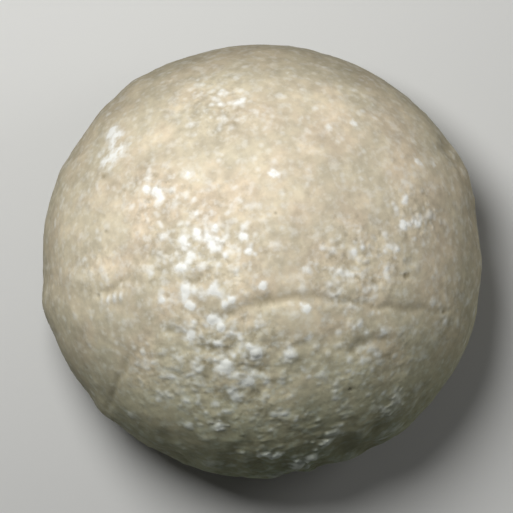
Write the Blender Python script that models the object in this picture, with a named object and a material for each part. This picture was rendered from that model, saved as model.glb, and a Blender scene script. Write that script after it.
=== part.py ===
"""Fossil sea urchin: a worn round test, turned to stone all through, lying on its flat mouth side.

Metres, +Z up. The origin is the middle of the flat base. Five rays of pores run from the summit down to the
mouth. -X is the front of the animal, where one ray runs, and +X is the back, where the vent opens low down.
"""

import math

import bmesh
import bpy
from mathutils import Vector, noise

MM = 0.001

# Driving dimensions
RADIUS = 15.0 * MM  # mean radius of the widest ring
HEIGHT = 17.6 * MM
WIDEST_HEIGHT = 4.8 * MM  # height of the widest ring above the base
SUMMIT_LEAN = 1.1 * MM  # how far the summit sits in front of the middle

# The side view is a superellipse above and below the widest ring; 2 is a plain ellipse, more is fuller
DOME_FULLNESS = 1.85
BASE_FULLNESS = 3.0
BASE_WEAR = 1.15  # the underside would reach this share of WIDEST_HEIGHT down, but for its worn flat

RAY_COUNT = 5
FRONT_RAY = 180.0  # bearing of the front ray in degrees

# Waves round the outline, which isn't quite round: (number, share of RADIUS, bearing of a crest in degrees)
OUTLINE_WAVES = (
    (2, 0.0075, -21.0),
    (4, 0.0045, 28.0),
    (5, 0.0028, 27.0),
    (6, 0.0033, 11.0),
    (8, 0.0028, 15.0),
    (10, 0.0036, 5.0),
)

# The mouth, slightly in front of the middle of the base, in its shallow funnel
MOUTH_X = -0.6 * MM
MOUTH_RADIUS = 1.9 * MM
MOUTH_DEPTH = 1.3 * MM
FUNNEL_RADIUS = 4.6 * MM
FUNNEL_DEPTH = 0.30 * MM

# Five furrows run out from the mouth, one under each ray
FURROW_REACH = 8.0 * MM
FURROW_HALF_WIDTH = 1.0 * MM
FURROW_DEPTH = 0.2 * MM

# The vent, an upright oval pit filled with stone, just under the widest ring at the back
VENT_HEIGHT = 3.1 * MM
VENT_HALF_WIDTH = 1.25 * MM
VENT_HALF_HEIGHT = 1.6 * MM
VENT_DEPTH = 0.75 * MM

# A low swelling on the rim beside the back, where a plate was pushed out
SWELLING_BEARING = 12.0
SWELLING_HEIGHT = 6.2 * MM
SWELLING_RADIUS = 2.3 * MM
SWELLING_RISE = 0.28 * MM

# Broad unevenness of the worn dome
DENT_SIZE = 4.5 * MM
DENT_DEPTH = 0.13 * MM

# Mesh
SPHERE_STEPS = 5
UNDER_CROWDING = 0.5  # above 0, points of the lower half crowd towards the mouth, and thin out at the rim
VENT_EDGE = 0.40 * MM  # the longest edges of triangles in and round each feature
MOUTH_EDGE = 0.42 * MM
FURROW_EDGE = 0.75 * MM
SWELLING_EDGE = 0.70 * MM
SPLIT_ROUNDS = 4

STONE_COLOUR = (0.70, 0.62, 0.48, 1.0)
STONE_ROUGHNESS = 0.8
NODE_NAME = "fossil_sea_urchin"


def clear_scene():
    """Removes every object that the file opened with."""
    for old in list(bpy.data.objects):
        bpy.data.objects.remove(old, do_unlink=True)


def falloff(distance, reach):
    """1 at no distance, easing to 0 at reach and beyond."""
    share = min(1.0, max(0.0, 1.0 - distance / reach))
    return share * share * (3.0 - 2.0 * share)


def outline(bearing):
    """The plan's radius at a bearing in radians, as a share of RADIUS."""
    return 1.0 + sum(
        share * math.cos(number * (bearing - math.radians(crest)))
        for number, share, crest in OUTLINE_WAVES
    )


def smooth_form(direction):
    """The point of the plain, unworn form that a direction from the middle of the sphere leads to."""
    across = math.hypot(direction.x, direction.y)
    above = direction.z >= 0.0
    power = DOME_FULLNESS if above else BASE_FULLNESS
    stretch = (across**power + abs(direction.z) ** power) ** (-1.0 / power)
    bearing = math.atan2(direction.y, direction.x)
    reach = RADIUS * across * stretch * outline(bearing)
    rise = direction.z * stretch
    lean = SUMMIT_LEAN * rise**2 if above else 0.0
    scale = HEIGHT - WIDEST_HEIGHT if above else WIDEST_HEIGHT * BASE_WEAR
    return Vector(
        (
            reach * math.cos(bearing) - lean,
            reach * math.sin(bearing),
            WIDEST_HEIGHT + rise * scale,
        )
    )


def dents(point):
    """How far the worn dome stands above or below the plain form, fading out at the widest ring."""
    share = (point.z - WIDEST_HEIGHT) / (HEIGHT - WIDEST_HEIGHT)
    fade = min(1.0, max(0.0, 2.5 * share))
    return DENT_DEPTH * fade * noise.fractal(point / DENT_SIZE, 1.0, 2.0, 3)


def swelling(point):
    """The rise of the pushed-out plate on the rim."""
    bearing = math.radians(SWELLING_BEARING)
    middle = Vector(
        (RADIUS * math.cos(bearing), RADIUS * math.sin(bearing), SWELLING_HEIGHT)
    )
    return SWELLING_RISE * falloff((point - middle).length, SWELLING_RADIUS)


def vent(point):
    """The depth of the oval pit at the back."""
    if point.x < 0.0:
        return 0.0
    away = math.hypot(
        point.y / VENT_HALF_WIDTH, (point.z - VENT_HEIGHT) / VENT_HALF_HEIGHT
    )
    return VENT_DEPTH * falloff(away, 1.0)


def under_hollow(point):
    """How far the mouth, its funnel and the five furrows are sunk into the base."""
    from_mouth = Vector((point.x - MOUTH_X, point.y))
    distance = from_mouth.length
    sunk = MOUTH_DEPTH * falloff(distance, MOUTH_RADIUS)
    sunk += FUNNEL_DEPTH * falloff(distance, FUNNEL_RADIUS)
    bearing = math.atan2(from_mouth.y, from_mouth.x) - math.radians(FRONT_RAY)
    step = math.tau / RAY_COUNT
    off_ray = bearing - step * round(bearing / step)
    beside = distance * abs(math.sin(off_ray))
    furrow = falloff(beside, FURROW_HALF_WIDTH) * falloff(distance, FURROW_REACH)
    return max(sunk, FURROW_DEPTH * furrow)


def crowded(direction):
    """Turns a downward direction towards straight down, so that the flat form gets even triangles."""
    if direction.z >= 0.0:
        return direction
    dip = math.asin(max(-1.0, direction.z)) / (-math.pi / 2)
    dip += UNDER_CROWDING * dip * (1.0 - dip)
    across = math.hypot(direction.x, direction.y)
    level = math.cos(dip * math.pi / 2) / max(across, 1e-9)
    return Vector((direction.x * level, direction.y * level, -math.sin(dip * math.pi / 2)))


def worn_form(direction):
    """The point of the finished surface that a point of the unit sphere leads to."""
    direction = crowded(direction)
    point = smooth_form(direction)
    outward = (point - Vector((0.0, 0.0, WIDEST_HEIGHT))).normalized()
    point += outward * (dents(point) + swelling(point) - vent(point))
    if direction.z < 0.0:
        point.z = max(0.0, point.z) + under_hollow(point)
    return point


def refine(bm, middle, reach, longest):
    """Splits the edges of the sphere that come out longer than they may be within reach of a point."""
    for _ in range(SPLIT_ROUNDS):
        place = {v: worn_form(v.co) for v in bm.verts}
        near = {v for v in bm.verts if (place[v] - middle).length < reach}
        long_edges = [
            edge
            for edge in bm.edges
            if near.issuperset(edge.verts)
            and (place[edge.verts[0]] - place[edge.verts[1]]).length > longest
        ]
        bmesh.ops.subdivide_edges(bm, edges=long_edges, cuts=1)
        bmesh.ops.triangulate(bm, faces=bm.faces)
        for v in bm.verts:
            v.co.normalize()


def refine_features(bm):
    """Finer triangles at the furrows, the mouth, the vent and the swelling."""
    mouth_middle = Vector((MOUTH_X, 0.0, 0.0))
    vent_middle = Vector((RADIUS, 0.0, VENT_HEIGHT))
    bearing = math.radians(SWELLING_BEARING)
    swelling_middle = Vector(
        (RADIUS * math.cos(bearing), RADIUS * math.sin(bearing), SWELLING_HEIGHT)
    )
    refine(bm, swelling_middle, 1.3 * SWELLING_RADIUS, SWELLING_EDGE)
    refine(bm, mouth_middle, 1.1 * FURROW_REACH, FURROW_EDGE)
    refine(bm, mouth_middle, 1.6 * MOUTH_RADIUS, MOUTH_EDGE)
    refine(bm, vent_middle, 1.6 * VENT_HALF_HEIGHT, VENT_EDGE)


def stand_in_middle(bm):
    """Moves the form so that its box is centred on the origin and stands on it."""
    low = Vector([min(v.co[axis] for v in bm.verts) for axis in range(3)])
    high = Vector([max(v.co[axis] for v in bm.verts) for axis in range(3)])
    middle = Vector(((low.x + high.x) / 2, (low.y + high.y) / 2, low.z))
    bmesh.ops.translate(bm, verts=bm.verts, vec=-middle)


def stone_material():
    """Pale, dull limestone."""
    material = bpy.data.materials.new("stone")
    material.use_nodes = True
    shader = material.node_tree.nodes["Principled BSDF"]
    shader.inputs["Base Color"].default_value = STONE_COLOUR
    shader.inputs["Roughness"].default_value = STONE_ROUGHNESS
    shader.inputs["Metallic"].default_value = 0.0
    return material


def build_fossil(collection):
    """The whole fossil, one closed solid."""
    bm = bmesh.new()
    bmesh.ops.create_icosphere(bm, subdivisions=SPHERE_STEPS, radius=1.0)
    refine_features(bm)
    for v in bm.verts:
        v.co = worn_form(v.co)
    stand_in_middle(bm)
    mesh = bpy.data.meshes.new(NODE_NAME)
    bm.to_mesh(mesh)
    bm.free()
    mesh.shade_smooth()
    mesh.materials.append(stone_material())
    fossil = bpy.data.objects.new(NODE_NAME, mesh)
    collection.objects.link(fossil)


def main():
    clear_scene()
    collection = bpy.data.collections.new("fossil_sea_urchin_parts")
    bpy.context.scene.collection.children.link(collection)
    build_fossil(collection)


main()
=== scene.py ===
"""Looks of a fossil sea urchin: the worn, grainy surface round its plain solid, and a pale stage.

Metres, +Z up. -X is the animal's front, where one of its five rays runs, and +X is its back.
Bearings are in degrees, from +X towards +Y. A reach is a share of the fossil's mean radius.
"""

import math

import bmesh
import bpy
import numpy as np
from bpy.props import FloatProperty, FloatVectorProperty, IntProperty, PointerProperty
from mathutils import Matrix, Vector, noise
from mathutils.bvhtree import BVHTree
from mathutils.kdtree import KDTree


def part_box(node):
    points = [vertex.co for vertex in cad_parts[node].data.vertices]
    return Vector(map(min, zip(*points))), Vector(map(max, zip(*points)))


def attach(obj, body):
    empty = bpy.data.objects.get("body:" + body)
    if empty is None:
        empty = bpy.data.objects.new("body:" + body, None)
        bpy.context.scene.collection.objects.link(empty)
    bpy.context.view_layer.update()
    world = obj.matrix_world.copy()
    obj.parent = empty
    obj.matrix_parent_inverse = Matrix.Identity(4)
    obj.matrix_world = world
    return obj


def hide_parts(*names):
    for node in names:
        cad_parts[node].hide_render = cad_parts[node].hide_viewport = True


bl_info = {
    "name": "Fossil Sea Urchin",
    "version": (1, 0, 0),
    "blender": (4, 5, 0),
    "location": "3D View > Sidebar > Fossil",
    "description": "Builds the worn stone surface of a fossil sea urchin, and a pale stage for it",
    "category": "Object",
}

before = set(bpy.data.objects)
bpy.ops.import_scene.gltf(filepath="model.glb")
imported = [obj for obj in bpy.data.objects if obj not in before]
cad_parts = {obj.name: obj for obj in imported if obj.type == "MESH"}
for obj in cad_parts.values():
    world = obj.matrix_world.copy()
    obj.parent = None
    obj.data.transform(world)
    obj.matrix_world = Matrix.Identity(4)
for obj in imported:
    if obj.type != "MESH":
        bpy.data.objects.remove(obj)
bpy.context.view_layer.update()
NODE = "fossil_sea_urchin"
LOW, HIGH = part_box(NODE)

MM = 0.001
RADIUS = (HIGH.x - LOW.x + HIGH.y - LOW.y) / 4
HEIGHT = HIGH.z
WIDEST = 0.29 * HEIGHT  # height of the widest ring
SUMMIT = np.array((-0.07 * RADIUS, 0.0))  # where the rays meet, in plan
MOUTH = np.array((-0.6 * MM, 0.0))  # in plan, in the middle of the base
MOUTH_RADIUS = 1.45 * MM
MOUTH_LIP = 1.6 * MM  # where the furrows begin
VENT = np.array((RADIUS, 0.0, 3.1 * MM))  # low on the back
VENT_HALF_WIDTH = 0.95 * MM
VENT_HALF_HEIGHT = 1.30 * MM
OPENING_SURROUND = 3.0 * MM  # how far round the mouth and the vent the net stays crisp and fine

RAYS = 5
FRONT_RAY = 180.0
RAY_STEP = 360.0 / RAYS

# Turns the camera and the lights about the upright axis, so that the fossil's back is to the right
VIEW_TURN = -14.0
VIEW_WIDTH = 1.171  # width of the view, as a share of the fossil's
VIEW_MIDDLE = (-0.40 * MM, 0.28 * MM, 0.0)  # in the turned view

# Lamps: width, distance, bearing in the turned view, and tilt from straight above
KEY_LAMP = (0.070, 0.130, 126.0, 30.0)
SIDE_LAMP = (0.080, 0.160, 22.0, 66.0)

# How well the grain is kept on the dome outside the grainy places, and under the rim
LEAST_KEPT = 0.18
KEPT_BELOW = 0.32

# The grainy places of the dome: (bearing, reach, radius as a reach, how well the grain is kept)
GRAINY_PLACES = (
    (160.0, 0.28, 0.55, 0.75),
    (-122.0, 0.48, 0.55, 0.95),
    (-98.0, 0.84, 0.52, 0.62),
    (-62.0, 0.66, 0.60, 0.62),
    (-148.0, 0.62, 0.45, 0.60),
    (-20.0, 0.42, 0.45, 0.75),
    (-30.0, 0.85, 0.35, 0.40),
    (135.0, 0.56, 0.30, 0.65),
    (168.0, 0.72, 0.32, 0.45),
    (95.0, 0.72, 0.38, 0.52),
    (3.0, 0.70, 0.28, 0.60),
)
# Where the grain is gone again: (bearing, reach, radius as a reach, share that is gone)
BARE_PLACES = (
    (-72.0, 0.31, 0.15, 0.70),
    (-160.0, 0.92, 0.35, 0.40),
)

FINE_ABOVE = 0.38  # the net is finer where the grain is kept better than this

# Where the relief is lower: (bearing, reach, radius as a reach, share of the height that is gone)
WORN_DOWN = (-56.0, 0.72, 0.52, 0.45)

# Patches of white grains on the dome:
# (bearing, reach, spread as a reach, how many, radius of the largest, whiteness)
WHITE_PATCHES = (
    (143.0, 0.320, 0.012, 3, 0.40 * MM, 1.0),
    (145.0, 0.270, 0.010, 2, 0.36 * MM, 1.0),
    (132.0, 0.260, 0.012, 2, 0.34 * MM, 0.9),
    (152.0, 0.370, 0.006, 1, 0.34 * MM, 0.9),
    (145.0, 0.210, 0.018, 4, 0.34 * MM, 0.9),
    (165.0, 0.320, 0.010, 4, 0.40 * MM, 1.0),
    (171.0, 0.350, 0.008, 3, 0.40 * MM, 1.0),
    (153.0, 0.360, 0.016, 3, 0.34 * MM, 0.9),
    (111.0, 0.140, 0.006, 1, 0.32 * MM, 0.9),
    (128.0, 0.080, 0.022, 4, 0.30 * MM, 0.8),
    (-175.0, 0.370, 0.012, 4, 0.42 * MM, 1.0),
    (-164.0, 0.370, 0.010, 3, 0.36 * MM, 1.0),
    (-170.0, 0.430, 0.022, 3, 0.32 * MM, 0.8),
    (-163.0, 0.250, 0.003, 1, 0.40 * MM, 1.0),
    (-145.0, 0.245, 0.012, 3, 0.36 * MM, 0.9),
    (-172.0, 0.480, 0.005, 1, 0.32 * MM, 0.8),
    (-100.0, 0.100, 0.012, 3, 0.34 * MM, 0.8),
    (-31.0, 0.200, 0.020, 3, 0.42 * MM, 0.5),
    (-61.0, 0.290, 0.003, 1, 0.44 * MM, 1.0),
    (-146.0, 0.340, 0.004, 2, 0.48 * MM, 1.0),
    (-137.0, 0.345, 0.004, 2, 0.42 * MM, 1.0),
    (-141.0, 0.350, 0.022, 3, 0.30 * MM, 0.7),
    (-149.0, 0.450, 0.012, 3, 0.38 * MM, 1.0),
    (-108.0, 0.412, 0.003, 1, 0.62 * MM, 1.0),
    (-112.0, 0.390, 0.018, 3, 0.36 * MM, 0.8),
    (-123.0, 0.500, 0.003, 1, 0.50 * MM, 1.0),
    (-124.0, 0.490, 0.014, 2, 0.32 * MM, 0.8),
    (-111.0, 0.545, 0.003, 1, 0.46 * MM, 1.0),
    (-88.0, 0.430, 0.014, 3, 0.55 * MM, 0.6),
    (-75.0, 0.390, 0.014, 3, 0.32 * MM, 0.7),
    (-140.0, 0.530, 0.060, 8, 0.36 * MM, 0.5),
    (-141.0, 0.650, 0.014, 3, 0.34 * MM, 0.7),
    (-52.0, 0.490, 0.035, 6, 0.40 * MM, 0.6),
    (-44.0, 0.630, 0.012, 2, 0.40 * MM, 0.6),
    (0.0, 0.660, 0.008, 2, 0.44 * MM, 1.0),
    (0.0, 0.710, 0.005, 1, 0.32 * MM, 0.8),
    (8.0, 0.720, 0.022, 4, 0.30 * MM, 0.9),
    (-8.0, 0.560, 0.025, 4, 0.36 * MM, 0.6),
    (-8.0, 0.430, 0.012, 2, 0.34 * MM, 0.7),
    (-20.0, 0.350, 0.080, 8, 0.36 * MM, 0.5),
    (15.0, 0.870, 0.022, 4, 0.36 * MM, 0.7),
    (133.0, 0.555, 0.014, 4, 0.44 * MM, 1.0),
    (134.0, 0.610, 0.006, 1, 0.36 * MM, 0.9),
    (117.0, 0.450, 0.045, 3, 0.32 * MM, 0.8),
    (68.0, 0.380, 0.003, 1, 0.42 * MM, 1.0),
    (86.0, 0.730, 0.016, 3, 0.34 * MM, 0.9),
    (92.0, 0.760, 0.060, 9, 0.28 * MM, 0.7),
    (44.0, 0.770, 0.020, 3, 0.34 * MM, 0.7),
    (50.0, 0.660, 0.014, 3, 0.30 * MM, 0.6),
    (-84.0, 0.550, 0.020, 2, 0.30 * MM, 0.7),
    (126.0, 0.890, 0.010, 3, 0.40 * MM, 1.0),
)

# Knobs round the worn side of the rim: (bearing, reach, radius, rise, whiteness)
KNOBS = (
    (-128.0, 0.81, 0.50 * MM, 0.12 * MM, 0.5),
    (-119.0, 0.76, 0.46 * MM, 0.10 * MM, 0.5),
    (-118.0, 0.95, 0.66 * MM, 0.18 * MM, 0.35),
    (-122.0, 0.84, 0.50 * MM, 0.12 * MM, 0.2),
    (-110.0, 0.87, 0.50 * MM, 0.12 * MM, 0.2),
    (-103.0, 0.87, 0.50 * MM, 0.16 * MM, 0.7),
    (-100.0, 0.88, 0.46 * MM, 0.15 * MM, 0.8),
    (-94.0, 0.94, 0.70 * MM, 0.28 * MM, 1.0),
    (-90.0, 0.92, 0.60 * MM, 0.24 * MM, 0.9),
    (-85.0, 0.87, 0.70 * MM, 0.20 * MM, 0.5),
    (-81.0, 0.84, 0.60 * MM, 0.16 * MM, 0.45),
    (-79.0, 0.82, 0.40 * MM, 0.10 * MM, 0.3),
    (-70.0, 0.98, 0.55 * MM, 0.15 * MM, 0.5),
    (-66.0, 0.97, 0.55 * MM, 0.15 * MM, 0.4),
    (-101.0, 0.98, 0.60 * MM, 0.18 * MM, 0.3),
    (-80.0, 0.98, 0.66 * MM, 0.16 * MM, 0.3),
    (-65.0, 0.88, 0.50 * MM, 0.12 * MM, 0.3),
    (-60.0, 0.87, 0.66 * MM, 0.13 * MM, 0.35),
    (-144.0, 0.91, 0.40 * MM, 0.08 * MM, 0.4),
    (-134.0, 0.93, 0.46 * MM, 0.09 * MM, 0.2),
    (-127.0, 0.92, 0.46 * MM, 0.10 * MM, 0.2),
)

# Creases on the dome: the (bearing, reach) of their bends, their half width, and their depth as a
# share of the deepest crease
LONG_CREASE = (
    (-141.0, 0.350),
    (-137.0, 0.290),
    (-132.0, 0.245),
    (-125.0, 0.220),
    (-116.0, 0.197),
    (-106.0, 0.181),
    (-94.0, 0.172),
    (-74.0, 0.190),
    (-58.0, 0.233),
    (-48.0, 0.288),
    (-42.5, 0.353),
    (-38.0, 0.460),
    (-34.5, 0.590),
    (-32.0, 0.706),
    (-28.5, 0.950),
)
CREASES = (
    (LONG_CREASE, 0.28 * MM, 0.40),
    (LONG_CREASE[:10], 0.44 * MM, 0.60),
    (((-67.0, 0.51), (-62.0, 0.56), (-56.0, 0.57), (-50.0, 0.60), (-44.0, 0.69)), 0.32 * MM, 0.32),
    (((-90.0, 0.41), (-80.0, 0.41), (-70.0, 0.42)), 0.24 * MM, 0.4),
    (((-159.5, 0.71), (-152.5, 0.905), (-149.0, 1.00)), 0.22 * MM, 0.50),
    (((-160.0, 0.54), (-148.0, 0.46)), 0.30 * MM, 0.5),
    (((-143.0, 0.50), (-137.0, 0.47), (-126.0, 0.44)), 0.30 * MM, 0.7),
    (((-117.0, 0.49), (-107.0, 0.48), (-97.0, 0.49)), 0.30 * MM, 0.3),
    (((177.5, 0.75), (175.7, 0.68), (172.0, 0.60)), 0.26 * MM, 0.45),
    (((149.0, 0.84), (151.0, 0.71)), 0.26 * MM, 0.3),
    (((138.0, 0.83), (138.0, 0.68)), 0.24 * MM, 0.25),
    (((19.0, 0.96), (12.0, 0.985), (3.0, 0.99)), 0.24 * MM, 0.5),
    (((-11.0, 0.26), (-17.0, 0.50), (-20.0, 0.64)), 0.38 * MM, 0.25),
)

# Low ridges on the dome: the (bearing, reach) of their bends, their half width and rise
RIDGES = (
    (((170.0, 0.92), (172.5, 0.75), (170.5, 0.62), (167.0, 0.50)), 0.60 * MM, 0.105 * MM),
    (((180.6, 0.80), (179.5, 0.62), (175.5, 0.54)), 0.45 * MM, 0.060 * MM),
    (((-62.0, 0.13), (-36.0, 0.32), (-29.0, 0.54), (-27.0, 0.77)), 0.60 * MM, 0.045 * MM),
    (((-54.0, 0.39), (-43.0, 0.60), (-37.0, 0.86)), 0.90 * MM, 0.065 * MM),
    (((53.0, 0.63), (47.0, 0.70)), 0.50 * MM, 0.030 * MM),
    (((19.0, 0.86), (12.0, 0.86)), 0.45 * MM, 0.045 * MM),
    (((-31.0, 0.93), (-37.0, 0.94)), 0.40 * MM, 0.050 * MM),
)

# Where the front ray still shows a comb of slanting bars: its ends as (bearing, reach)
COMB = ((180.6, 0.77), (179.5, 0.60))
COMB_HALF_WIDTH = 0.52 * MM
COMB_STEP = 0.46 * MM  # from bar to bar
COMB_RISE = 0.075 * MM

# Small dark pits on the dome: (bearing, reach, radius)
PITS = (
    (129.0, 0.51, 0.15 * MM),
    (138.0, 0.81, 0.15 * MM),
    (61.0, 0.22, 0.11 * MM),
    (-20.0, 0.65, 0.22 * MM),
    (80.0, 0.62, 0.10 * MM),
    (155.0, 0.71, 0.14 * MM),
    (88.0, 0.33, 0.09 * MM),
    (-30.0, 0.85, 0.13 * MM),
    (178.0, 0.75, 0.12 * MM),
    (-70.0, 0.70, 0.14 * MM),
)

# Low swellings and dents on the dome: (bearing, reach, radius as a reach, rise)
FLANK_SHARE = 0.45  # how much a swelling's height on the flank counts against its width
FULLY_SHADED_DENT = 0.32 * MM  # depth at which a dent is darkest with painted shade
SWELLS = (
    (-74.0, 0.31, 0.17, 0.16 * MM),
    (-42.0, 0.42, 0.15, 0.06 * MM),
    (-109.0, 0.400, 0.055, 0.08 * MM),
    (-107.0, 0.490, 0.060, -0.05 * MM),
    (-124.0, 0.400, 0.045, -0.10 * MM),
    (-126.0, 0.450, 0.045, -0.09 * MM),
    (-123.0, 0.510, 0.040, 0.07 * MM),
    (-88.0, 0.430, 0.060, 0.10 * MM),
    (-108.0, 0.600, 0.060, -0.10 * MM),
    (-95.0, 0.590, 0.070, -0.06 * MM),
    (-61.0, 0.460, 0.045, -0.07 * MM),
    (-57.0, 0.580, 0.060, -0.08 * MM),
    (-50.0, 0.500, 0.050, 0.07 * MM),
    (-130.0, 0.580, 0.050, -0.09 * MM),
    (-143.0, 0.570, 0.060, 0.07 * MM),
    (161.0, 0.270, 0.035, -0.09 * MM),
    (-179.0, 0.310, 0.050, -0.10 * MM),
    (173.0, 0.590, 0.050, -0.07 * MM),
    (-177.0, 0.680, 0.050, -0.07 * MM),
    (-15.0, 0.650, 0.040, -0.09 * MM),
    (-13.0, 0.390, 0.050, -0.08 * MM),
    (-70.0, 0.710, 0.050, -0.07 * MM),
    (-115.0, 0.780, 0.060, -0.11 * MM),
    (-112.0, 0.860, 0.055, -0.15 * MM),
    (-133.0, 0.910, 0.070, -0.14 * MM),
    (-129.0, 0.980, 0.100, -0.26 * MM),
    (-124.0, 0.970, 0.080, -0.20 * MM),
    (-113.0, 0.930, 0.085, -0.22 * MM),
    (-105.0, 0.920, 0.080, -0.24 * MM),
    (-98.0, 0.930, 0.075, -0.24 * MM),
    (-96.0, 0.990, 0.085, -0.28 * MM),
    (-87.0, 0.980, 0.095, -0.34 * MM),
    (-80.0, 0.930, 0.115, -0.36 * MM),
    (-74.0, 0.990, 0.110, -0.36 * MM),
    (-70.0, 0.920, 0.080, -0.22 * MM),
    (-75.0, 0.850, 0.060, -0.12 * MM),
    (178.0, 0.990, 0.150, 0.32 * MM),
    (163.0, 0.990, 0.450, 0.10 * MM),
    (-150.0, 0.990, 0.130, 0.28 * MM),
    (142.0, 0.990, 0.100, 0.13 * MM),
    (124.0, 0.990, 0.120, 0.13 * MM),
    (112.0, 0.990, 0.110, 0.13 * MM),
    (18.5, 0.990, 0.070, -0.15 * MM),
    (8.5, 0.990, 0.100, 0.12 * MM),
    (-1.5, 0.990, 0.110, -0.18 * MM),
    (-15.0, 0.990, 0.160, 0.13 * MM),
)

# A smear of chalk near the rim, as the (bearing, reach) of its bends
CHALK = ((126.0, 0.86), (129.0, 0.82), (133.5, 0.84))

# The bearing of the side that is painted darkest with shade, where the rim is also broken, and how
# far to each side of it the rim is broken
SHADED_BROKEN_SIDE = -96.0
BROKEN_SPREAD = 85.0

# The radii that the scattered grains stay between, and how high a grain rises for its radius
SMALLEST_GRAIN = 0.10 * MM
LARGEST_GRAIN = 0.42 * MM
GRAIN_RISE = 0.125
WHITE_GRAIN_RISE = 0.15

# The five furrows on the base, out to this far from the mouth
FURROW_END = 12.5 * MM
FURROW_HALF_WIDTH = 1.1 * MM

# The rows of pores of the rays: the step from pore to pore, and a row's half width
BASE_PORE_STEP = 0.62 * MM
BASE_PORE_HALF_WIDTH = 0.26 * MM
FLANK_PORE_STEP = 0.46 * MM
FLANK_PORE_HALF_WIDTH = 0.34 * MM

FULL_HOLLOW = 0.05 * MM  # a hollow this deep is darkest with painted shade, and a bump this high is rubbed pale


def place(bearing, reach):
    """The point in plan at a bearing in degrees and a reach from the middle."""
    angle = math.radians(bearing)
    return np.array((math.cos(angle), math.sin(angle))) * reach * RADIUS


def ease(share):
    """0 below 0, 1 above 1, and a smooth step between."""
    share = np.clip(share, 0.0, 1.0)
    return share * share * (3.0 - 2.0 * share)


def near(distance, reach):
    """1 at no distance, easing to 0 at reach and beyond."""
    return ease(1.0 - distance / reach)


# -------------------------------------------------------------------------------------------------
# Settings
# -------------------------------------------------------------------------------------------------


def length_setting(name, description, default):
    """A size that the user can change."""
    return FloatProperty(
        name=name,
        description=description,
        default=default,
        min=0.0,
        subtype="DISTANCE",
        unit="LENGTH",
        precision=5,
    )


def colour_setting(name, description, default):
    """A colour that the user can change."""
    return FloatVectorProperty(
        name=name,
        description=description,
        default=default,
        size=3,
        min=0.0,
        max=1.0,
        subtype="COLOR",
    )


class FossilRelief(bpy.types.PropertyGroup):
    """Sizes of the surface's relief."""

    mesh_steps: IntProperty(
        name="Mesh steps",
        description="How many triangles stand along each edge of the mesh's twenty large ones",
        default=76,
        min=10,
        max=90,
    )
    swell_height: length_setting(
        "Swell height", "Height of the broad, low swells of the worn surface", 0.070 * MM
    )
    lump_height: length_setting(
        "Lump height", "Height of the lumps on the grainy parts", 0.072 * MM
    )
    rough_height: length_setting(
        "Roughness height", "Height of the roughness between the lumps", 0.034 * MM
    )
    grain_radius: length_setting(
        "Grain radius", "Usual radius of the scattered grains", 0.22 * MM
    )
    grain_count: IntProperty(
        name="Grain count",
        description="How many grains are scattered over the whole fossil",
        default=4200,
        min=0,
        max=20000,
    )
    crease_depth: length_setting(
        "Crease depth", "Depth of the deepest crease", 0.16 * MM
    )
    pore_depth: length_setting("Pore depth", "Depth of the pores of the rays", 0.06 * MM)
    furrow_depth: length_setting(
        "Furrow depth", "Depth of the five furrows on the base, and of their pores", 0.22 * MM
    )
    opening_depth: length_setting(
        "Opening depth", "How far the fill of the mouth and the vent is sunk", 0.30 * MM
    )
    rim_depth: length_setting(
        "Rim depth", "Depth of the hollows worn into the broken side of the rim", 0.16 * MM
    )


class FossilColours(bpy.types.PropertyGroup):
    """Colours of the stone."""

    stone: colour_setting("Stone", "Main colour", (0.635, 0.563, 0.415))
    warm: colour_setting("Warm stone", "Colour of the warmer patches", (0.66, 0.55, 0.405))
    grey: colour_setting("Grey stone", "Colour of the greyer patches", (0.47, 0.45, 0.345))
    # Painted shade: the flanks are mixed towards this darker brown, as the light falls off down
    # the dome.
    painted_flank_shade: colour_setting("Brown stone", "Colour of the flanks", (0.44, 0.39, 0.265))
    # Painted shade and a painted green reflection, multiplied over the side away from the key
    # lamp.
    painted_shade_tint: colour_setting("Stain", "Tint of the stained side", (0.65, 0.80, 0.68))
    white: colour_setting("White grain", "Colour of the white grains", (0.92, 0.92, 0.87))
    # Darkens the hollows, creases, dents, pits and openings: dirt and painted shade.
    dirt_and_shade: colour_setting("Dirt", "Colour of the dirt in the hollows", (0.28, 0.23, 0.14))
    # Painted shade: a dark band low round the rim, on the shaded side and straight across from it.
    rim_shade: colour_setting(
        "Rim dirt", "Colour of the dirt under the rim", (0.11, 0.09, 0.06)
    )
    roughness: FloatProperty(
        name="Roughness",
        description="Roughness of the stone",
        default=0.78,
        min=0.0,
        max=1.0,
        subtype="FACTOR",
    )


class FossilStage(bpy.types.PropertyGroup):
    """The floor, the lights and the camera."""

    floor: colour_setting("Floor", "Colour of the floor", (0.64, 0.64, 0.62))
    glow: colour_setting(
        "Floor glow",
        "Share of the light that the floor throws back on the fossil",
        (0.20, 0.22, 0.20),
    )
    key_power: FloatProperty(
        name="Key light",
        description="Power of the soft lamp above",
        default=0.156,
        min=0.0,
        unit="POWER",
    )
    side_power: FloatProperty(
        name="Side light",
        description="Power of the faint low lamp",
        default=0.044,
        min=0.0,
        unit="POWER",
    )
    fill: FloatProperty(
        name="Fill",
        description="Strength of the even light from all round",
        default=0.03,
        min=0.0,
    )
    backdrop: FloatProperty(
        name="Backdrop",
        description="Brightness of what is seen beyond the floor",
        default=0.66,
        min=0.0,
        max=1.0,
    )
    lens: FloatProperty(
        name="Lens",
        description="Focal length of the camera",
        default=400.0,
        min=20.0,
        subtype="DISTANCE_CAMERA",
    )


# -------------------------------------------------------------------------------------------------
# The skin: an even net of triangles laid over the solid
# -------------------------------------------------------------------------------------------------


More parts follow.
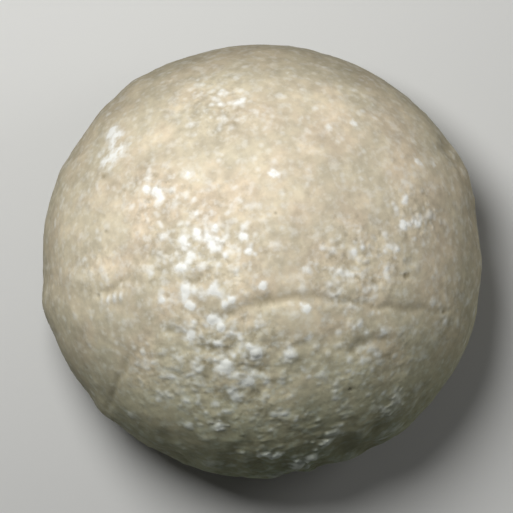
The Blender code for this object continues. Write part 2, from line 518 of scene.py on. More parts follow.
class Skin:
    """A net of triangles with a height, and a share of each marking, at every point."""

    def __init__(self, points, faces):
        self.points = points
        self.faces = faces
        self.count = len(points)
        self.rise = np.zeros(self.count)
        self.white = np.zeros(self.count)
        # Darkening in hollows, creases, dents, pits and openings: dirt and painted shade.
        self.dirt_and_shade = np.zeros(self.count)
        self.kept = np.zeros(self.count)
        pairs = np.concatenate((faces[:, (0, 1)], faces[:, (1, 2)], faces[:, (2, 0)]))
        pairs.sort(axis=1)
        self.edges = np.unique(pairs, axis=0)
        self.degree = np.bincount(self.edges.ravel(), minlength=self.count)

    def average(self, values):
        """The mean of each point's neighbours."""
        a, b = self.edges.T
        total = np.bincount(a, values[b], self.count)
        total += np.bincount(b, values[a], self.count)
        return total / self.degree

    def blurred(self, values, rounds, share=0.6):
        """Values smoothed over the net; share may differ from point to point."""
        for _ in range(rounds):
            values = values + (self.average(values) - values) * share
        return values

    def smooth_points(self, rounds, share):
        """Evens out the net by moving each point towards its neighbours."""
        for axis in range(3):
            self.points[:, axis] = self.blurred(self.points[:, axis], rounds, share)

    def normals(self):
        """Each point's outward direction."""
        a, b, c = (self.points[self.faces[:, i]] for i in range(3))
        cross = np.cross(b - a, c - a)
        total = np.zeros_like(self.points)
        for corner in range(3):
            for axis in range(3):
                total[:, axis] += np.bincount(
                    self.faces[:, corner], cross[:, axis], self.count
                )
        return total / np.linalg.norm(total, axis=1)[:, None]


def net_arrays(bm):
    """A triangulated bmesh's points and faces."""
    bm.verts.ensure_lookup_table()
    points = np.array([v.co[:] for v in bm.verts])
    faces = np.array([[v.index for v in face.verts] for face in bm.faces])
    return points, faces


def ball_net(steps):
    """A ball of radius 1 made of 20 triangles, each cut into steps by steps small ones."""
    bm = bmesh.new()
    bmesh.ops.create_icosphere(bm, subdivisions=1, radius=1.0)
    bmesh.ops.subdivide_edges(bm, edges=bm.edges, cuts=steps - 1, use_grid_fill=True)
    bmesh.ops.triangulate(bm, faces=bm.faces)
    bm.verts.index_update()
    points, faces = net_arrays(bm)
    bm.free()
    return points / np.linalg.norm(points, axis=1)[:, None], faces


def even_elevations(tree, middle, heights):
    """Elevations from the middle, for points that have these heights on a ball of radius 1.

    They share the solid's surface out evenly between the points, with some more points on its
    upper side. The solid's profile is the mean of five, one beside each ray.
    """
    elevation = np.linspace(-math.pi / 2, math.pi / 2, 361)  # every half degree
    distance = np.zeros_like(elevation)
    for ray in range(RAYS):
        bearing = math.radians(FRONT_RAY + (ray + 0.3) * RAY_STEP)
        for i, angle in enumerate(elevation):
            level = math.cos(angle)
            towards = Vector(
                (level * math.cos(bearing), level * math.sin(bearing), math.sin(angle))
            )
            distance[i] += tree.ray_cast(middle, towards)[3] / RAYS
    out = distance * np.cos(elevation)
    up = distance * np.sin(elevation)
    ring = np.hypot(np.diff(out), np.diff(up)) * (out[1:] + out[:-1])
    ring *= 1.0 + 0.3 * ease(0.5 + (up[1:] + up[:-1]) / HEIGHT)
    covered = np.concatenate(((0.0,), np.cumsum(ring)))
    return np.interp(heights, 2.0 * covered / covered[-1] - 1.0, elevation)


def lay_net(steps):
    """The skin over the solid, before any relief."""
    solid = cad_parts[NODE]
    bm = bmesh.new()
    bm.from_mesh(solid.data)
    tree = BVHTree.FromBMesh(bm)
    bm.free()
    middle = Vector((0.0, 0.0, WIDEST))
    ball, faces = ball_net(steps)
    elevation = even_elevations(tree, middle, ball[:, 2])
    across = np.maximum(np.hypot(ball[:, 0], ball[:, 1]), 1e-9)
    level = np.cos(elevation) / across
    towards = np.column_stack(
        (ball[:, 0] * level, ball[:, 1] * level, np.sin(elevation))
    )
    points = np.array([tree.ray_cast(middle, Vector(d))[0][:] for d in towards])
    skin = Skin(points, faces)
    skin.smooth_points(24, 0.6 * slack_places(skin))
    skin = with_finer_parts(skin)
    skin.smooth_points(8, 0.5 * slack_places(skin))
    return skin


def hollow_places(skin):
    """1 at the mouth and the vent, easing to 0 round them."""
    below = skin.points[:, 2] < 0.2 * HEIGHT
    from_mouth = np.linalg.norm(skin.points[:, :2] - MOUTH, axis=1)
    from_vent = np.linalg.norm(skin.points - VENT, axis=1)
    mouth = near(from_mouth, OPENING_SURROUND) * below
    return np.maximum(mouth, near(from_vent, OPENING_SURROUND))


def slack_places(skin):
    """1 where smoothing may round the solid's edges, and less at the mouth and the vent."""
    return 1.0 - 0.85 * hollow_places(skin)


def comb_place(skin):
    """1 along the comb, easing to 0 beside it."""
    distance, _ = along_line(skin.points[:, :2], COMB)
    return near(distance, 1.6 * MM) * on_dome(skin)


def with_finer_parts(skin):
    """The skin with its best kept, grainiest parts cut into triangles of half the size."""
    grainy = graininess(skin) * on_dome(skin)
    fine = np.maximum.reduce((grainy, hollow_places(skin), comb_place(skin))) > FINE_ABOVE
    bm = bmesh.new()
    verts = [bm.verts.new(p) for p in skin.points]
    for face in skin.faces:
        bm.faces.new([verts[i] for i in face])
    bm.verts.index_update()
    edges = [e for e in bm.edges if fine[e.verts[0].index] and fine[e.verts[1].index]]
    bmesh.ops.subdivide_edges(bm, edges=edges, cuts=1, use_grid_fill=True)
    bmesh.ops.triangulate(bm, faces=[f for f in bm.faces if len(f.verts) > 3])
    bm.verts.index_update()
    points, faces = net_arrays(bm)
    bm.free()
    return Skin(points, faces)


# -------------------------------------------------------------------------------------------------
# Relief
# -------------------------------------------------------------------------------------------------


def plan_distance(skin, bearing, reach):
    """Each point's distance in plan from a place on the dome."""
    return np.linalg.norm(skin.points[:, :2] - place(bearing, reach), axis=1)


def top_point(skin, spot):
    """The index of the upper side's point that lies nearest to a spot in plan."""
    away = np.linalg.norm(skin.points[:, :2] - spot, axis=1)
    return np.argmin(away + np.where(skin.points[:, 2] > 0.9 * WIDEST, 0.0, 1.0))


def on_dome(skin):
    """1 on the dome and its rim, easing to 0 under the rim."""
    return ease((skin.points[:, 2] - 0.45 * WIDEST) / (0.35 * WIDEST))


def waves(skin, size, octaves=3, seed=0.0):
    """Smooth noise with swells of about a size, mostly from -1 to 1."""
    shift = Vector((seed * 17.3, seed * 5.1, seed * 9.7))
    return np.array(
        [
            noise.fractal(Vector(p) / size + shift, 0.9, 2.1, octaves)
            for p in skin.points
        ]
    )


def graininess(skin):
    """How well the grain is kept at each point, from 0, worn smooth, to 1."""
    kept = np.full(skin.count, LEAST_KEPT)
    for bearing, reach, radius, strength in GRAINY_PLACES:
        here = strength * near(plan_distance(skin, bearing, reach), radius * RADIUS)
        kept = np.maximum(kept, here)
    for bearing, reach, radius, strength in BARE_PLACES:
        here = near(plan_distance(skin, bearing, reach), radius * RADIUS)
        kept *= 1.0 - strength * here
    below = KEPT_BELOW + 0.2 * waves(skin, 3.0 * MM, seed=4.0)
    dome = on_dome(skin)
    return np.clip(kept * dome + below * (1.0 - dome), 0.0, 1.0)


def relief_left(skin):
    """The share of the relief's height that is left at each point."""
    bearing, reach, radius, gone = WORN_DOWN
    here = near(plan_distance(skin, bearing, reach), radius * RADIUS)
    return 1.0 - gone * here * on_dome(skin)


def along_line(points, bends):
    """Each point's distance in plan from a line of bends, and its share of the way along it."""
    corners = [place(*bend) for bend in bends]
    lengths = [np.linalg.norm(b - a) for a, b in zip(corners, corners[1:])]
    best = np.full(len(points), 1.0)
    share = np.zeros(len(points))
    gone = 0.0
    for start, end, length in zip(corners, corners[1:], lengths):
        step = (end - start) / length
        along = np.clip((points - start) @ step, 0.0, length)
        distance = np.linalg.norm(points - start - along[:, None] * step, axis=1)
        closer = distance < best
        best[closer] = distance[closer]
        share[closer] = (gone + along[closer]) / sum(lengths)
        gone += length
    return best, share


def fading_ends(share):
    """1 on most of a line, easing to 0 at its two ends."""
    return ease(share / 0.2) * ease((1.0 - share) / 0.2)


def add_creases(skin, depth):
    """Cuts the creases, which wander a little, fade at their ends, and are darkened with painted
    shade.
    """
    dome = on_dome(skin)
    wander = np.column_stack([waves(skin, 1.1 * MM, octaves=2, seed=seed) for seed in (6.0, 7.0)])
    points = skin.points[:, :2] + 0.20 * MM * wander
    for bends, half_width, strength in CREASES:
        distance, share = along_line(points, bends)
        cut = near(distance, 1.8 * half_width) * (0.2 + 0.8 * fading_ends(share)) * dome
        skin.rise -= depth * strength * cut
        skin.dirt_and_shade += 0.55 * strength * cut**2


def add_swells(skin):
    """Raises the low swellings and ridges, and sinks the dents, some of which are darkened with
    painted shade.
    """
    dome = on_dome(skin)
    wander = 0.20 * MM * waves(skin, 1.2 * MM, octaves=2, seed=5.0)
    for bearing, reach, radius, rise in SWELLS:
        foot = top_point(skin, place(bearing, reach))
        below = FLANK_SHARE * (skin.points[:, 2] - skin.points[foot, 2])
        away = np.hypot(plan_distance(skin, bearing, reach), below) + wander
        here = near(away, radius * RADIUS)
        skin.rise += rise * here * dome
        skin.dirt_and_shade += max(-rise / FULLY_SHADED_DENT, 0.0) ** 2 * here * dome
    for bends, half_width, rise in RIDGES:
        distance, share = along_line(skin.points[:, :2], bends)
        skin.rise += rise * near(distance, 1.6 * half_width) * fading_ends(share) * dome


def break_rim(skin, depth):
    """Wears uneven hollows into the rim on the side that is painted darkest with shade."""
    bearing = np.degrees(np.arctan2(skin.points[:, 1], skin.points[:, 0]))
    aside = (bearing - SHADED_BROKEN_SIDE + 180.0) % 360.0 - 180.0
    from_rim = np.abs(skin.points[:, 2] - 1.1 * WIDEST)
    here = near(np.abs(aside), BROKEN_SPREAD) * near(from_rim, WIDEST)
    hollow = np.clip(0.15 + 1.4 * waves(skin, 1.2 * MM, seed=13.0), 0.0, 1.2)
    skin.rise -= depth * here * hollow


def add_comb(skin):
    """A short comb of slanting pale bars, the last of the front ray's pores on the dome."""
    start, end = (place(*spot) for spot in COMB)
    length = np.linalg.norm(end - start)
    step = (end - start) / length
    offset = skin.points[:, :2] - start
    along = offset @ step
    aside = offset @ np.array((-step[1], step[0]))
    ends = ease(along / MM) * ease((length - along) / MM)
    inside = near(np.abs(aside), COMB_HALF_WIDTH) * ends
    bar = 0.5 + 0.5 * np.cos(math.tau * (along - 0.45 * aside) / COMB_STEP)
    skin.rise += COMB_RISE * bar * inside * on_dome(skin)
    skin.white += 0.60 * bar * inside * on_dome(skin)


def add_pits(skin):
    """Sinks the small pits and darkens them."""
    for bearing, reach, radius in PITS:
        here = near(plan_distance(skin, bearing, reach), 1.5 * radius) * on_dome(skin)
        skin.rise -= 0.5 * radius * here
        skin.dirt_and_shade += 0.9 * here


def opening_places(skin):
    """For the mouth and for the vent, 0 at its middle, 1 at its edge, and more outside it."""
    far = 9.0
    x, y, z = skin.points.T
    mouth = np.hypot(x - MOUTH[0], y - MOUTH[1]) / MOUTH_RADIUS
    vent = np.hypot(y / VENT_HALF_WIDTH, (z - VENT[2]) / VENT_HALF_HEIGHT)
    return mouth + far * (z > 0.5 * WIDEST), vent + far * (x < 0.5 * RADIUS)


def add_openings(skin, depth):
    """Sharpens the mouth and the vent: a worn lip round a rough fill of stone, darkened with dirt
    and painted shade.
    """
    fill = waves(skin, 0.7 * MM, seed=14.0)
    for away in opening_places(skin):
        away = away + 0.12 * waves(skin, 0.9 * MM, seed=15.0)
        inside = ease((1.0 - away) / 0.45)
        skin.rise -= depth * inside * (1.0 - 0.4 * fill)
        skin.rise += 0.30 * depth * near(np.abs(away - 1.2), 0.4)
        skin.dirt_and_shade += (0.8 - 0.6 * fill) * inside


def add_furrows(skin, depth):
    """Sinks each ray's furrow on the base, with a row of pores down each side of it."""
    aside, out = ray_places(skin, MOUTH)
    aside = aside + 0.15 * MM * waves(skin, 1.8 * MM, octaves=2, seed=16.0)
    under = ease(1.0 - skin.points[:, 2] / (0.30 * WIDEST))
    reach = near(out, FURROW_END) * ease((out - MOUTH_LIP) / MM) * under
    trough = near(np.abs(aside), FURROW_HALF_WIDTH) * reach
    skin.rise -= depth * trough
    skin.dirt_and_shade += 0.40 * trough
    row = 0.30 * MM + 0.05 * out
    beside = np.abs(np.abs(aside) - row)
    hole = ease(1.2 * np.cos(math.tau * out / BASE_PORE_STEP))
    pore = near(beside, BASE_PORE_HALF_WIDTH) * hole
    worn = ease(0.7 + waves(skin, 2.2 * MM, octaves=2, seed=12.0))
    skin.rise -= depth * pore * reach * worn
    skin.dirt_and_shade += 0.9 * pore * reach * worn


def tree_of(skin):
    """The skin's points, ready to be looked up by place."""
    tree = KDTree(skin.count)
    for i, p in enumerate(skin.points):
        tree.insert(p, i)
    tree.balance()
    return tree


def point_areas(skin):
    """Twice the area of the triangles round each point."""
    a, b, c = (skin.points[skin.faces[:, i]] for i in range(3))
    area = np.linalg.norm(np.cross(b - a, c - a), axis=1)
    return sum(np.bincount(skin.faces[:, i], area, skin.count) for i in range(3))


class GrainSetter:
    """Sets grains on the skin: low, rough, often longish mounds, more or less white."""

    def __init__(self, skin, seed):
        self.skin = skin
        self.tree = tree_of(skin)
        self.rough = waves(skin, 0.34 * MM, octaves=2, seed=seed)
        self.rng = np.random.default_rng(int(seed))
        self.lift = np.zeros(skin.count)

    def set_grain(self, foot, radius, height, white, fullness=1.0, ragged=0.5):
        """Sets one grain; the fuller its white, the further it spreads from the top."""
        direction = self.rng.normal(size=3)
        direction /= np.linalg.norm(direction)
        slim = self.rng.uniform(0.0, 0.55)
        for co, index, distance in self.tree.find_range(foot, 1.6 * radius):
            away = np.array(co) - foot
            along = away @ direction
            squared = (distance * distance - slim * along * along) / (1.0 - 0.35 * slim)
            share = math.sqrt(max(squared, 0.0)) / radius * (1.0 + ragged * self.rough[index])
            cap = max(0.0, 1.0 - share * share)
            rise = height * cap * cap
            self.lift[index] = max(self.lift[index], rise) + 0.3 * min(self.lift[index], rise)
            shade = white * min(1.0, fullness * cap)
            self.skin.white[index] = max(self.skin.white[index], shade)


def scatter_grains(skin, relief, setter):
    """Sets grains of all sizes, in clumps, thickest where the grain is best kept."""
    rng = setter.rng
    clumps = ease(0.5 + 1.1 * waves(skin, 1.3 * MM, seed=11.0))
    chance = point_areas(skin) * (0.06 + skin.kept) * (0.15 + clumps)  # some grains anywhere
    picks = rng.choice(skin.count, relief.grain_count, p=chance / chance.sum())
    radii = relief.grain_radius * np.exp(rng.normal(0.0, 0.35, relief.grain_count))
    whiteness = 0.80 * rng.random(relief.grain_count) ** 2.0
    radii = np.clip(radii, SMALLEST_GRAIN, LARGEST_GRAIN)
    for i, radius, white in zip(picks, radii, whiteness):
        shade = white * (0.35 + 0.65 * skin.kept[i])
        setter.set_grain(skin.points[i], radius, GRAIN_RISE * radius, shade, 1.4)


def set_white_patches(skin, setter):
    """The larger white grains, in their patches on the dome."""
    rng = setter.rng
    for bearing, reach, spread, count, largest, whiteness in WHITE_PATCHES:
        for i in range(count):
            spot = place(bearing, reach) + rng.normal(0.0, spread * RADIUS, 2)
            foot = skin.points[top_point(skin, spot)]
            radius = 0.85 * largest * (1.0 - 0.5 * i / count)
            shade = whiteness * (1.0 if i == 0 else rng.uniform(0.35, 1.0))
            fullness = 2.2 if i == 0 else 1.5
            setter.set_grain(foot, radius, WHITE_GRAIN_RISE * radius, shade, fullness)


def set_knobs(skin, setter):
    """Low pale knobs round the worn lower rim."""
    for bearing, reach, radius, rise, whiteness in KNOBS:
        foot = skin.points[top_point(skin, place(bearing, reach))]
        setter.set_grain(foot, radius, 0.8 * rise, whiteness, 1.5, 1.2)


def ray_places(skin, centre):
    """Each point's offset from the nearest ray's line, and its way out from the rays' middle."""
    plan = skin.points[:, :2] - centre
    out = np.linalg.norm(plan, axis=1)
    bearing = np.degrees(np.arctan2(plan[:, 1], plan[:, 0])) - FRONT_RAY
    off = np.radians(bearing - np.round(bearing / RAY_STEP) * RAY_STEP)
    return out * np.sin(off), out


def add_pores(skin, depth):
    """Sinks the two rows of pores of each ray, which are kept only below the widest ring."""
    aside, out = ray_places(skin, SUMMIT)
    drop = HEIGHT - skin.points[:, 2]
    along = 1.04 * np.hypot(out, drop)  # the way down the dome is a little longer than straight
    row = 0.10 * along + 0.12 * MM
    beside = np.abs(np.abs(aside) - row)
    slot = 0.5 + 0.5 * np.cos(math.tau * (along + 0.5 * np.abs(aside)) / FLANK_PORE_STEP)
    worn = ease(0.6 + waves(skin, 2.5 * MM, octaves=2, seed=12.0))
    kept = ease((0.95 * WIDEST - skin.points[:, 2]) / (0.3 * WIDEST))
    kept *= ease(skin.points[:, 2] / (0.15 * WIDEST)) * worn
    in_row = near(beside, FLANK_PORE_HALF_WIDTH)
    skin.rise -= depth * kept * in_row * slot
    skin.dirt_and_shade += 0.4 * kept * in_row * slot
    skin.rise -= 0.4 * depth * kept * near(beside, 0.6 * MM)


def add_lumps(skin, relief, left):
    """Makes the skin uneven: broad swells, lumps on the grainy parts, and roughness."""
    swells = waves(skin, 2.4 * MM, octaves=2, seed=2.0)
    skin.rise += relief.swell_height * swells * (0.3 + skin.kept)
    lumps = np.clip(waves(skin, 1.4 * MM, seed=1.0), -0.7, 1.0)
    skin.rise += relief.lump_height * lumps * (0.15 + skin.kept) * left
    rough = waves(skin, 0.62 * MM, octaves=2, seed=3.0)
    skin.rise += relief.rough_height * rough * (0.05 + skin.kept) * left


def set_grains(skin, relief, left):
    """Sets all grains and knobs, and softens their white a little."""
    setter = GrainSetter(skin, 8.0)
    scatter_grains(skin, relief, setter)
    set_white_patches(skin, setter)
    set_knobs(skin, setter)
    skin.rise += skin.blurred(setter.lift, 1, 0.5) * left
    softness = np.where(skin.kept > FINE_ABOVE, 0.5, 0.15)
    skin.white = skin.blurred(skin.white, 3, softness)
    skin.white += 0.4 * skin.blurred(skin.white, 36)


def mark_hollows(skin):
    """Darkens the small hollows with painted shade, and rubs the small bumps pale."""
    hollow = (skin.blurred(skin.rise, 16) - skin.rise) / FULL_HOLLOW
    skin.dirt_and_shade += np.clip(hollow, 0.0, 1.0) * (0.15 + 0.75 * skin.kept)
    skin.white += np.clip(-hollow, 0.0, 1.0) * 0.55 * skin.kept


def smear_chalk(skin):
    """Whitens the smear of chalk, which is thin in places."""
    smear, _ = along_line(skin.points[:, :2], CHALK)
    chalk = near(smear, 1.10 * MM) * on_dome(skin)
    skin.white += 0.9 * chalk * ease(0.7 + waves(skin, 0.6 * MM, seed=9.0))


def carve(skin, relief):
    """Gives the skin its relief and markings."""
    skin.kept = graininess(skin)
    left = relief_left(skin)
    add_swells(skin)
    add_lumps(skin, relief, left)
    break_rim(skin, relief.rim_depth)
    add_furrows(skin, relief.furrow_depth)
    add_openings(skin, relief.opening_depth)
    add_pores(skin, relief.pore_depth)
    add_comb(skin)
    add_creases(skin, relief.crease_depth)
    set_grains(skin, relief, left)
    add_pits(skin)
    mark_hollows(skin)
    smear_chalk(skin)


def skin_object(skin, name):
    """The finished mesh, with its markings as named attributes."""
    points = skin.points + skin.normals() * skin.rise[:, None]
    points[:, 2] = np.maximum(points[:, 2], 0.0)
    mesh = bpy.data.meshes.new(name)
    mesh.from_pydata(points.tolist(), [], skin.faces.tolist())
    markings = (("white", skin.white), ("dirt_and_shade", skin.dirt_and_shade), ("kept", skin.kept))
    for label, values in markings:
        attribute = mesh.attributes.new(label, "FLOAT", "POINT")
        attribute.data.foreach_set("value", np.clip(values, 0.0, 1.0).astype(np.float32))
    mesh.shade_smooth()
    piece = bpy.data.objects.new(name, mesh)
    bpy.context.scene.collection.objects.link(piece)
    return piece


# -------------------------------------------------------------------------------------------------
# Material
# -------------------------------------------------------------------------------------------------


class NodePen:
    """Adds and joins a node tree's nodes."""

    def __init__(self, tree):
        self.tree = tree
        self.column = -1800

    def add(self, kind, **inputs):
        """A node whose inputs are given by name: a number, a colour, or another node's output."""
        node = self.tree.nodes.new(kind)
        self.column += 60
        node.location = (self.column, -self.column % 700)
        for name, value in inputs.items():
            self.set(node.inputs[name.replace("_", " ")], value)
        return node

    def set(self, socket, value):
        """Gives a socket its value, or another node's output."""
        if isinstance(value, bpy.types.NodeSocket):
            self.tree.links.new(value, socket)
        else:
            socket.default_value = value

    def noise(self, spot, size, detail=3.0, roughness=0.55):
        """Noise from 0 to 1 with swells of about a size."""
        node = self.add(
            "ShaderNodeTexNoise",
            Vector=spot,
            Scale=1.0 / size,
            Detail=detail,
            Roughness=roughness,
        )
        return node.outputs["Fac"]

    def stretch(self, value, low, high, to_low=0.0, to_high=1.0):
        """A value from low to high, moved to run from to_low to to_high."""
        node = self.add("ShaderNodeMapRange")
        for index, item in enumerate((value, low, high, to_low, to_high)):
            self.set(node.inputs[index], item)
        return node.outputs[0]

    def math(self, operation, a, b):
        """Two values put together by one of the Math node's operations."""
        node = self.add("ShaderNodeMath")
        node.operation = operation
        self.set(node.inputs[0], a)
        self.set(node.inputs[1], b)
        return node.outputs[0]

    def times(self, a, b):
        """The product of two values."""
        return self.math("MULTIPLY", a, b)

    def mix(self, share, a, b, blend="MIX"):
        """Colour a turning to colour b."""
        node = self.add("ShaderNodeMix")
        node.data_type = "RGBA"
        node.blend_type = blend
        self.set(node.inputs["Factor"], share)
        self.set(node.inputs[6], a)
        self.set(node.inputs[7], b)
        return node.outputs[2]

    def uneven(self, colour, wave, amount):
        """A colour made lighter and darker by a share, where a noise is high and low."""
        swing = self.times(self.stretch(wave, 0.3, 0.7, -1.0, 1.0), amount)
        level = self.math("ADD", swing, 1.0)
        grey = self.add("ShaderNodeCombineColor", Red=level, Green=level, Blue=level)
        return self.mix(1.0, colour, grey.outputs["Color"], "MULTIPLY")

    def marking(self, name):
        """A marking stored on the mesh."""
        node = self.add("ShaderNodeAttribute")
        node.attribute_name = name
        return node.outputs["Fac"]


def opaque(colour):
    """A colour setting as a node's colour."""
    return (*colour, 1.0)


def mottled_colour(pen, colours, spot, height, kept):
    """Cream stone with warm and grey clouds, flanks darkened to brown as painted shade, and light
    and dark speckles.
    """
    warm_share = pen.stretch(pen.noise(spot, 3.2 * MM, 4.0), 0.40, 0.64, 0.0, 0.9)
    colour = pen.mix(warm_share, opaque(colours.stone), opaque(colours.warm))
    grey_share = pen.stretch(pen.noise(spot, 1.9 * MM, 4.0), 0.50, 0.74, 0.0, 0.30)
    colour = pen.mix(grey_share, colour, opaque(colours.grey))
    # Painted shade: darker brown from high on the dome down to the lower flanks.
    flank_shade_share = pen.times(pen.stretch(height, 0.80 * HEIGHT, 0.25 * HEIGHT), 0.75)
    colour = pen.mix(flank_shade_share, colour, opaque(colours.painted_flank_shade))
    colour = pen.uneven(colour, pen.noise(spot, 3.6 * MM, 2.0), 0.13)
    cloudiness = pen.stretch(kept, 0.0, 0.8, 0.08, 0.17)
    colour = pen.uneven(colour, pen.noise(spot, 1.5 * MM, 2.0), cloudiness)
    speckle = pen.stretch(kept, 0.0, 0.8, 0.06, 0.19)
    colour = pen.uneven(colour, pen.noise(spot, 0.60 * MM, 2.0), speckle)
    pale = pen.stretch(pen.noise(spot, 0.58 * MM, 2.0), 0.50, 0.70)
    pale = pen.times(pale, pen.stretch(kept, 0.1, 0.9, 0.21, 0.54))
    return pen.mix(pale, colour, opaque(colours.white))


def fleck_share(pen, spot, height):
    """The small pale flecks: one to a cell, strong in few cells, and fainter towards the base."""
    cells = pen.add("ShaderNodeTexVoronoi", Vector=spot, Scale=1.0 / (0.60 * MM))
    lot = pen.add("ShaderNodeSeparateColor", Color=cells.outputs["Color"]).outputs[0]
    dot = pen.stretch(cells.outputs["Distance"], 0.45, 0.0)
    flecks = pen.times(dot, pen.math("POWER", lot, 3.0))
    above_base = pen.stretch(height, 0.04 * HEIGHT, 0.26 * HEIGHT, 0.4, 1.0)
    return pen.times(flecks, pen.times(above_base, 0.55))


def dirt_and_shade_share(pen, spot, kept):
    """The marking's dirt and painted shade, and soil in small spots, more of it where the grain is
    kept.
    """
    soiled = pen.stretch(pen.noise(spot, 0.70 * MM, 3.0), 0.46, 0.30)
    soiled = pen.times(soiled, pen.stretch(kept, 0.1, 0.9, 0.10, 0.60))
    return pen.math("ADD", pen.times(pen.marking("dirt_and_shade"), 0.62), soiled)


def white_share(pen, spot):
    """The white grains: the marking, with ragged edges."""
    ragged = pen.stretch(pen.noise(spot, 0.34 * MM, 2.0), 0.30, 0.70, 0.70, 1.40)
    return pen.stretch(pen.times(pen.marking("white"), ragged), 0.10, 0.90, 0.0, 0.97)


def with_painted_shade(pen, colours, colour, place_parts, white):
    """A colour with painted shade under the rim, and with painted shade and a painted green
    reflection over the shaded side.
    """
    height = place_parts["Z"]
    bearing = math.radians(SHADED_BROKEN_SIDE)
    side = pen.math(
        "ADD",
        pen.times(place_parts["X"], math.cos(bearing) / RADIUS),
        pen.times(place_parts["Y"], math.sin(bearing) / RADIUS),
    )
    # Painted shade under the rim, on the shaded side and straight across from it.
    rim = pen.stretch(height, 0.70 * HEIGHT, 0.42 * HEIGHT, 0.0, 0.4)
    rim = pen.times(rim, pen.stretch(height, 0.12 * HEIGHT, 0.28 * HEIGHT, 0.5))
    painted_rim_shade_share = pen.times(rim, pen.times(side, side))  # also straight across from that side
    colour = pen.mix(painted_rim_shade_share, colour, opaque(colours.rim_shade))
    # Painted shade and a painted green reflection over the side away from the key lamp, fainter at
    # the base and on white grains.
    painted_shade_share = pen.math("POWER", pen.stretch(side, -0.3, 1.0), 2.2)
    above_base = pen.stretch(height, 0.10 * HEIGHT, 0.28 * HEIGHT, 0.35)
    painted_shade_share = pen.times(painted_shade_share, above_base)
    bare = pen.stretch(white, 0.0, 1.0, 1.0, 0.45)
    painted_shade_share = pen.times(painted_shade_share, bare)
    return pen.mix(painted_shade_share, colour, opaque(colours.painted_shade_tint), "MULTIPLY")


def stone_material(colours):
    """Dull, mottled limestone with white grains, dirt and painted shade in its hollows, and
    painted shade on its flanks and shaded side.
    """
    material = bpy.data.materials.new("worn limestone")
    material.use_nodes = True
    pen = NodePen(material.node_tree)
    shader = material.node_tree.nodes["Principled BSDF"]
    spot = pen.add("ShaderNodeTexCoord").outputs["Object"]
    place_parts = pen.add("ShaderNodeSeparateXYZ", Vector=spot).outputs
    height = place_parts["Z"]
    kept = pen.marking("kept")
    flecks = fleck_share(pen, spot, height)
    white = white_share(pen, spot)
    colour = mottled_colour(pen, colours, spot, height, kept)
    colour = pen.mix(flecks, colour, opaque(colours.white))
    # Dirt, and painted shade in the hollows.
    colour = pen.mix(dirt_and_shade_share(pen, spot, kept), colour, opaque(colours.dirt_and_shade))
    colour = pen.mix(white, colour, opaque(colours.white))
    pen.set(shader.inputs["Base Color"], with_painted_shade(pen, colours, colour, place_parts, white))
    rough = pen.stretch(white, 0.0, 1.0, colours.roughness, colours.roughness - 0.2)
    pen.set(shader.inputs["Roughness"], rough)
    shader.inputs["Specular IOR Level"].default_value = 0.35
    fine = pen.noise(spot, 0.16 * MM, 3.0, 0.6)
    relief = pen.math("ADD", fine, pen.times(flecks, 1.5))
    bump = pen.add("ShaderNodeBump", Height=relief, Strength=0.15, Distance=0.05 * MM)
    pen.set(shader.inputs["Normal"], bump.outputs["Normal"])
    return material


# -------------------------------------------------------------------------------------------------
# Stage
# -------------------------------------------------------------------------------------------------


def add_floor(stage):
    """A sheet of pale paper, which shows its own even colour away from the fossil."""
    bpy.ops.mesh.primitive_plane_add(size=3.0, location=(0.0, 0.0, -0.02 * MM))
    floor = bpy.context.object
    floor.name = "floor"
    material = bpy.data.materials.new("floor paper")
    material.use_nodes = True
    pen = NodePen(material.node_tree)
    paper = material.node_tree.nodes["Principled BSDF"]
    colour = opaque(stage.floor)
    seen = seen_straight(pen)
    pen.set(paper.inputs["Base Color"], pen.mix(seen, opaque(stage.glow), colour))
    paper.inputs["Roughness"].default_value = 0.9
    spot = pen.add("ShaderNodeTexCoord").outputs["Object"]
    away = pen.add("ShaderNodeVectorMath", Vector=spot)
    away.operation = "LENGTH"
    far = pen.stretch(away.outputs["Value"], 1.8 * RADIUS, 8.0 * RADIUS)
    even = pen.add("ShaderNodeEmission", Color=colour, Strength=1.0)
    blend = pen.add("ShaderNodeMixShader", Fac=pen.times(far, seen))
    material.node_tree.links.new(paper.outputs[0], blend.inputs[1])
    material.node_tree.links.new(even.outputs[0], blend.inputs[2])
    output = material.node_tree.nodes["Material Output"]
    material.node_tree.links.new(blend.outputs[0], output.inputs["Surface"])
    floor.data.materials.append(material)


def seen_straight(pen):
    """1 for what the camera sees, also in a reflection or through glass, and 0 for other light."""
    path = pen.add("ShaderNodeLightPath").outputs
    seen = pen.math("MAXIMUM", path["Is Camera Ray"], path["Is Glossy Ray"])
    return pen.math("MAXIMUM", seen, path["Is Transmission Ray"])


def add_lamp(name, power, width, distance, bearing, tilt):
    """Adds a round soft lamp that looks at the middle of the fossil's base."""
    light = bpy.data.lights.new(name, "AREA")
    light.shape = "DISK"
    light.size = width
    light.energy = power
    lamp = bpy.data.objects.new(name, light)
    bpy.context.scene.collection.objects.link(lamp)
    round_angle = math.radians(bearing + VIEW_TURN)
    tilt_angle = math.radians(tilt)
    towards = Vector(
        (
            math.sin(tilt_angle) * math.cos(round_angle),
            math.sin(tilt_angle) * math.sin(round_angle),
            math.cos(tilt_angle),
        )
    )
    lamp.location = towards * distance
    lamp.rotation_euler = towards.to_track_quat("Z", "Y").to_euler()


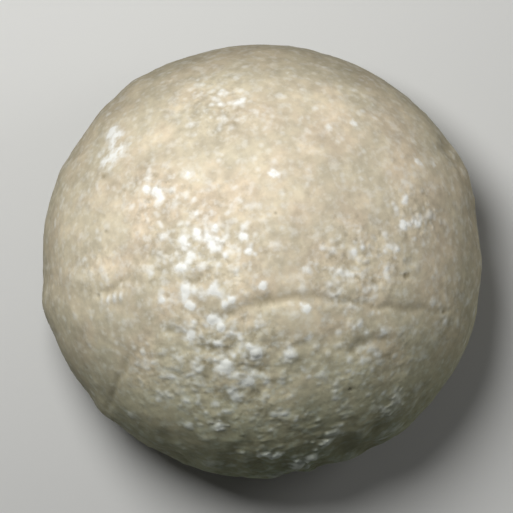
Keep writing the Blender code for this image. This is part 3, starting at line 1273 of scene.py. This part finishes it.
def add_lights(stage):
    """A near soft lamp above one flank, a faint low one behind the back, and an even fill."""
    add_lamp("key", stage.key_power, *KEY_LAMP)
    add_lamp("side", stage.side_power, *SIDE_LAMP)
    world = bpy.context.scene.world or bpy.data.worlds.new("studio")
    bpy.context.scene.world = world
    world.use_nodes = True
    pen = NodePen(world.node_tree)
    background = world.node_tree.nodes["Background"]
    background.inputs["Color"].default_value = (1.0, 1.0, 1.0, 1.0)
    strength = pen.stretch(seen_straight(pen), 0.0, 1.0, stage.fill, stage.backdrop)
    pen.set(background.inputs["Strength"], strength)


def add_camera(stage):
    """A camera with a long lens, straight above the fossil."""
    data = bpy.data.cameras.new("camera")
    data.lens = stage.lens
    data.sensor_width = 36.0
    data.clip_start = 0.01
    camera = bpy.data.objects.new("camera", data)
    bpy.context.scene.collection.objects.link(camera)
    width = VIEW_WIDTH * 2 * RADIUS
    distance = width * data.lens / data.sensor_width
    turn = Matrix.Rotation(math.radians(VIEW_TURN), 4, "Z")
    spot = turn @ Vector(VIEW_MIDDLE) + Vector((0.0, 0.0, WIDEST + distance))
    camera.matrix_world = Matrix.Translation(spot) @ turn
    bpy.context.scene.camera = camera


# -------------------------------------------------------------------------------------------------
# Operators
# -------------------------------------------------------------------------------------------------


class FOSSIL_OT_surface(bpy.types.Operator):
    """Lays the worn, grainy stone surface over the plain solid"""

    bl_idname = "fossil.surface"
    bl_label = "Stone Surface"

    def execute(self, context):
        relief = context.scene.fossil_relief
        skin = lay_net(relief.mesh_steps)
        carve(skin, relief)
        piece = skin_object(skin, "urchin_surface")
        piece.data.materials.append(stone_material(context.scene.fossil_colours))
        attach(piece, "root")
        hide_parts(NODE)
        return {"FINISHED"}


class FOSSIL_OT_stage(bpy.types.Operator):
    """Adds the pale floor, the soft light and the camera over the fossil"""

    bl_idname = "fossil.stage"
    bl_label = "Stage"

    def execute(self, context):
        stage = context.scene.fossil_stage
        add_floor(stage)
        add_lights(stage)
        add_camera(stage)
        context.scene.view_settings.view_transform = "Standard"
        return {"FINISHED"}


# -------------------------------------------------------------------------------------------------
# Panel and registration
# -------------------------------------------------------------------------------------------------


class FOSSIL_PT_panel(bpy.types.Panel):
    """Lists the fossil's steps and settings"""

    bl_label = "Fossil Sea Urchin"
    bl_idname = "FOSSIL_PT_panel"
    bl_space_type = "VIEW_3D"
    bl_region_type = "UI"
    bl_category = "Fossil"

    def draw(self, context):
        layout = self.layout
        for operator in (FOSSIL_OT_surface, FOSSIL_OT_stage):
            layout.operator(operator.bl_idname)
        scene = context.scene
        for group in (scene.fossil_relief, scene.fossil_colours, scene.fossil_stage):
            box = layout.box()
            for name in group.__annotations__:
                box.prop(group, name)


CLASSES = (
    FossilRelief,
    FossilColours,
    FossilStage,
    FOSSIL_OT_surface,
    FOSSIL_OT_stage,
    FOSSIL_PT_panel,
)


def register():
    """Adds the fossil's settings, operators and panel to Blender."""
    for cls in CLASSES:
        bpy.utils.register_class(cls)
    bpy.types.Scene.fossil_relief = PointerProperty(type=FossilRelief)
    bpy.types.Scene.fossil_colours = PointerProperty(type=FossilColours)
    bpy.types.Scene.fossil_stage = PointerProperty(type=FossilStage)


def unregister():
    """Takes them out again."""
    del bpy.types.Scene.fossil_stage
    del bpy.types.Scene.fossil_colours
    del bpy.types.Scene.fossil_relief
    for cls in reversed(CLASSES):
        bpy.utils.unregister_class(cls)


def main():
    """Builds the surface and the stage."""
    register()
    bpy.ops.fossil.surface()
    bpy.ops.fossil.stage()


if __name__ == "__main__":
    main()
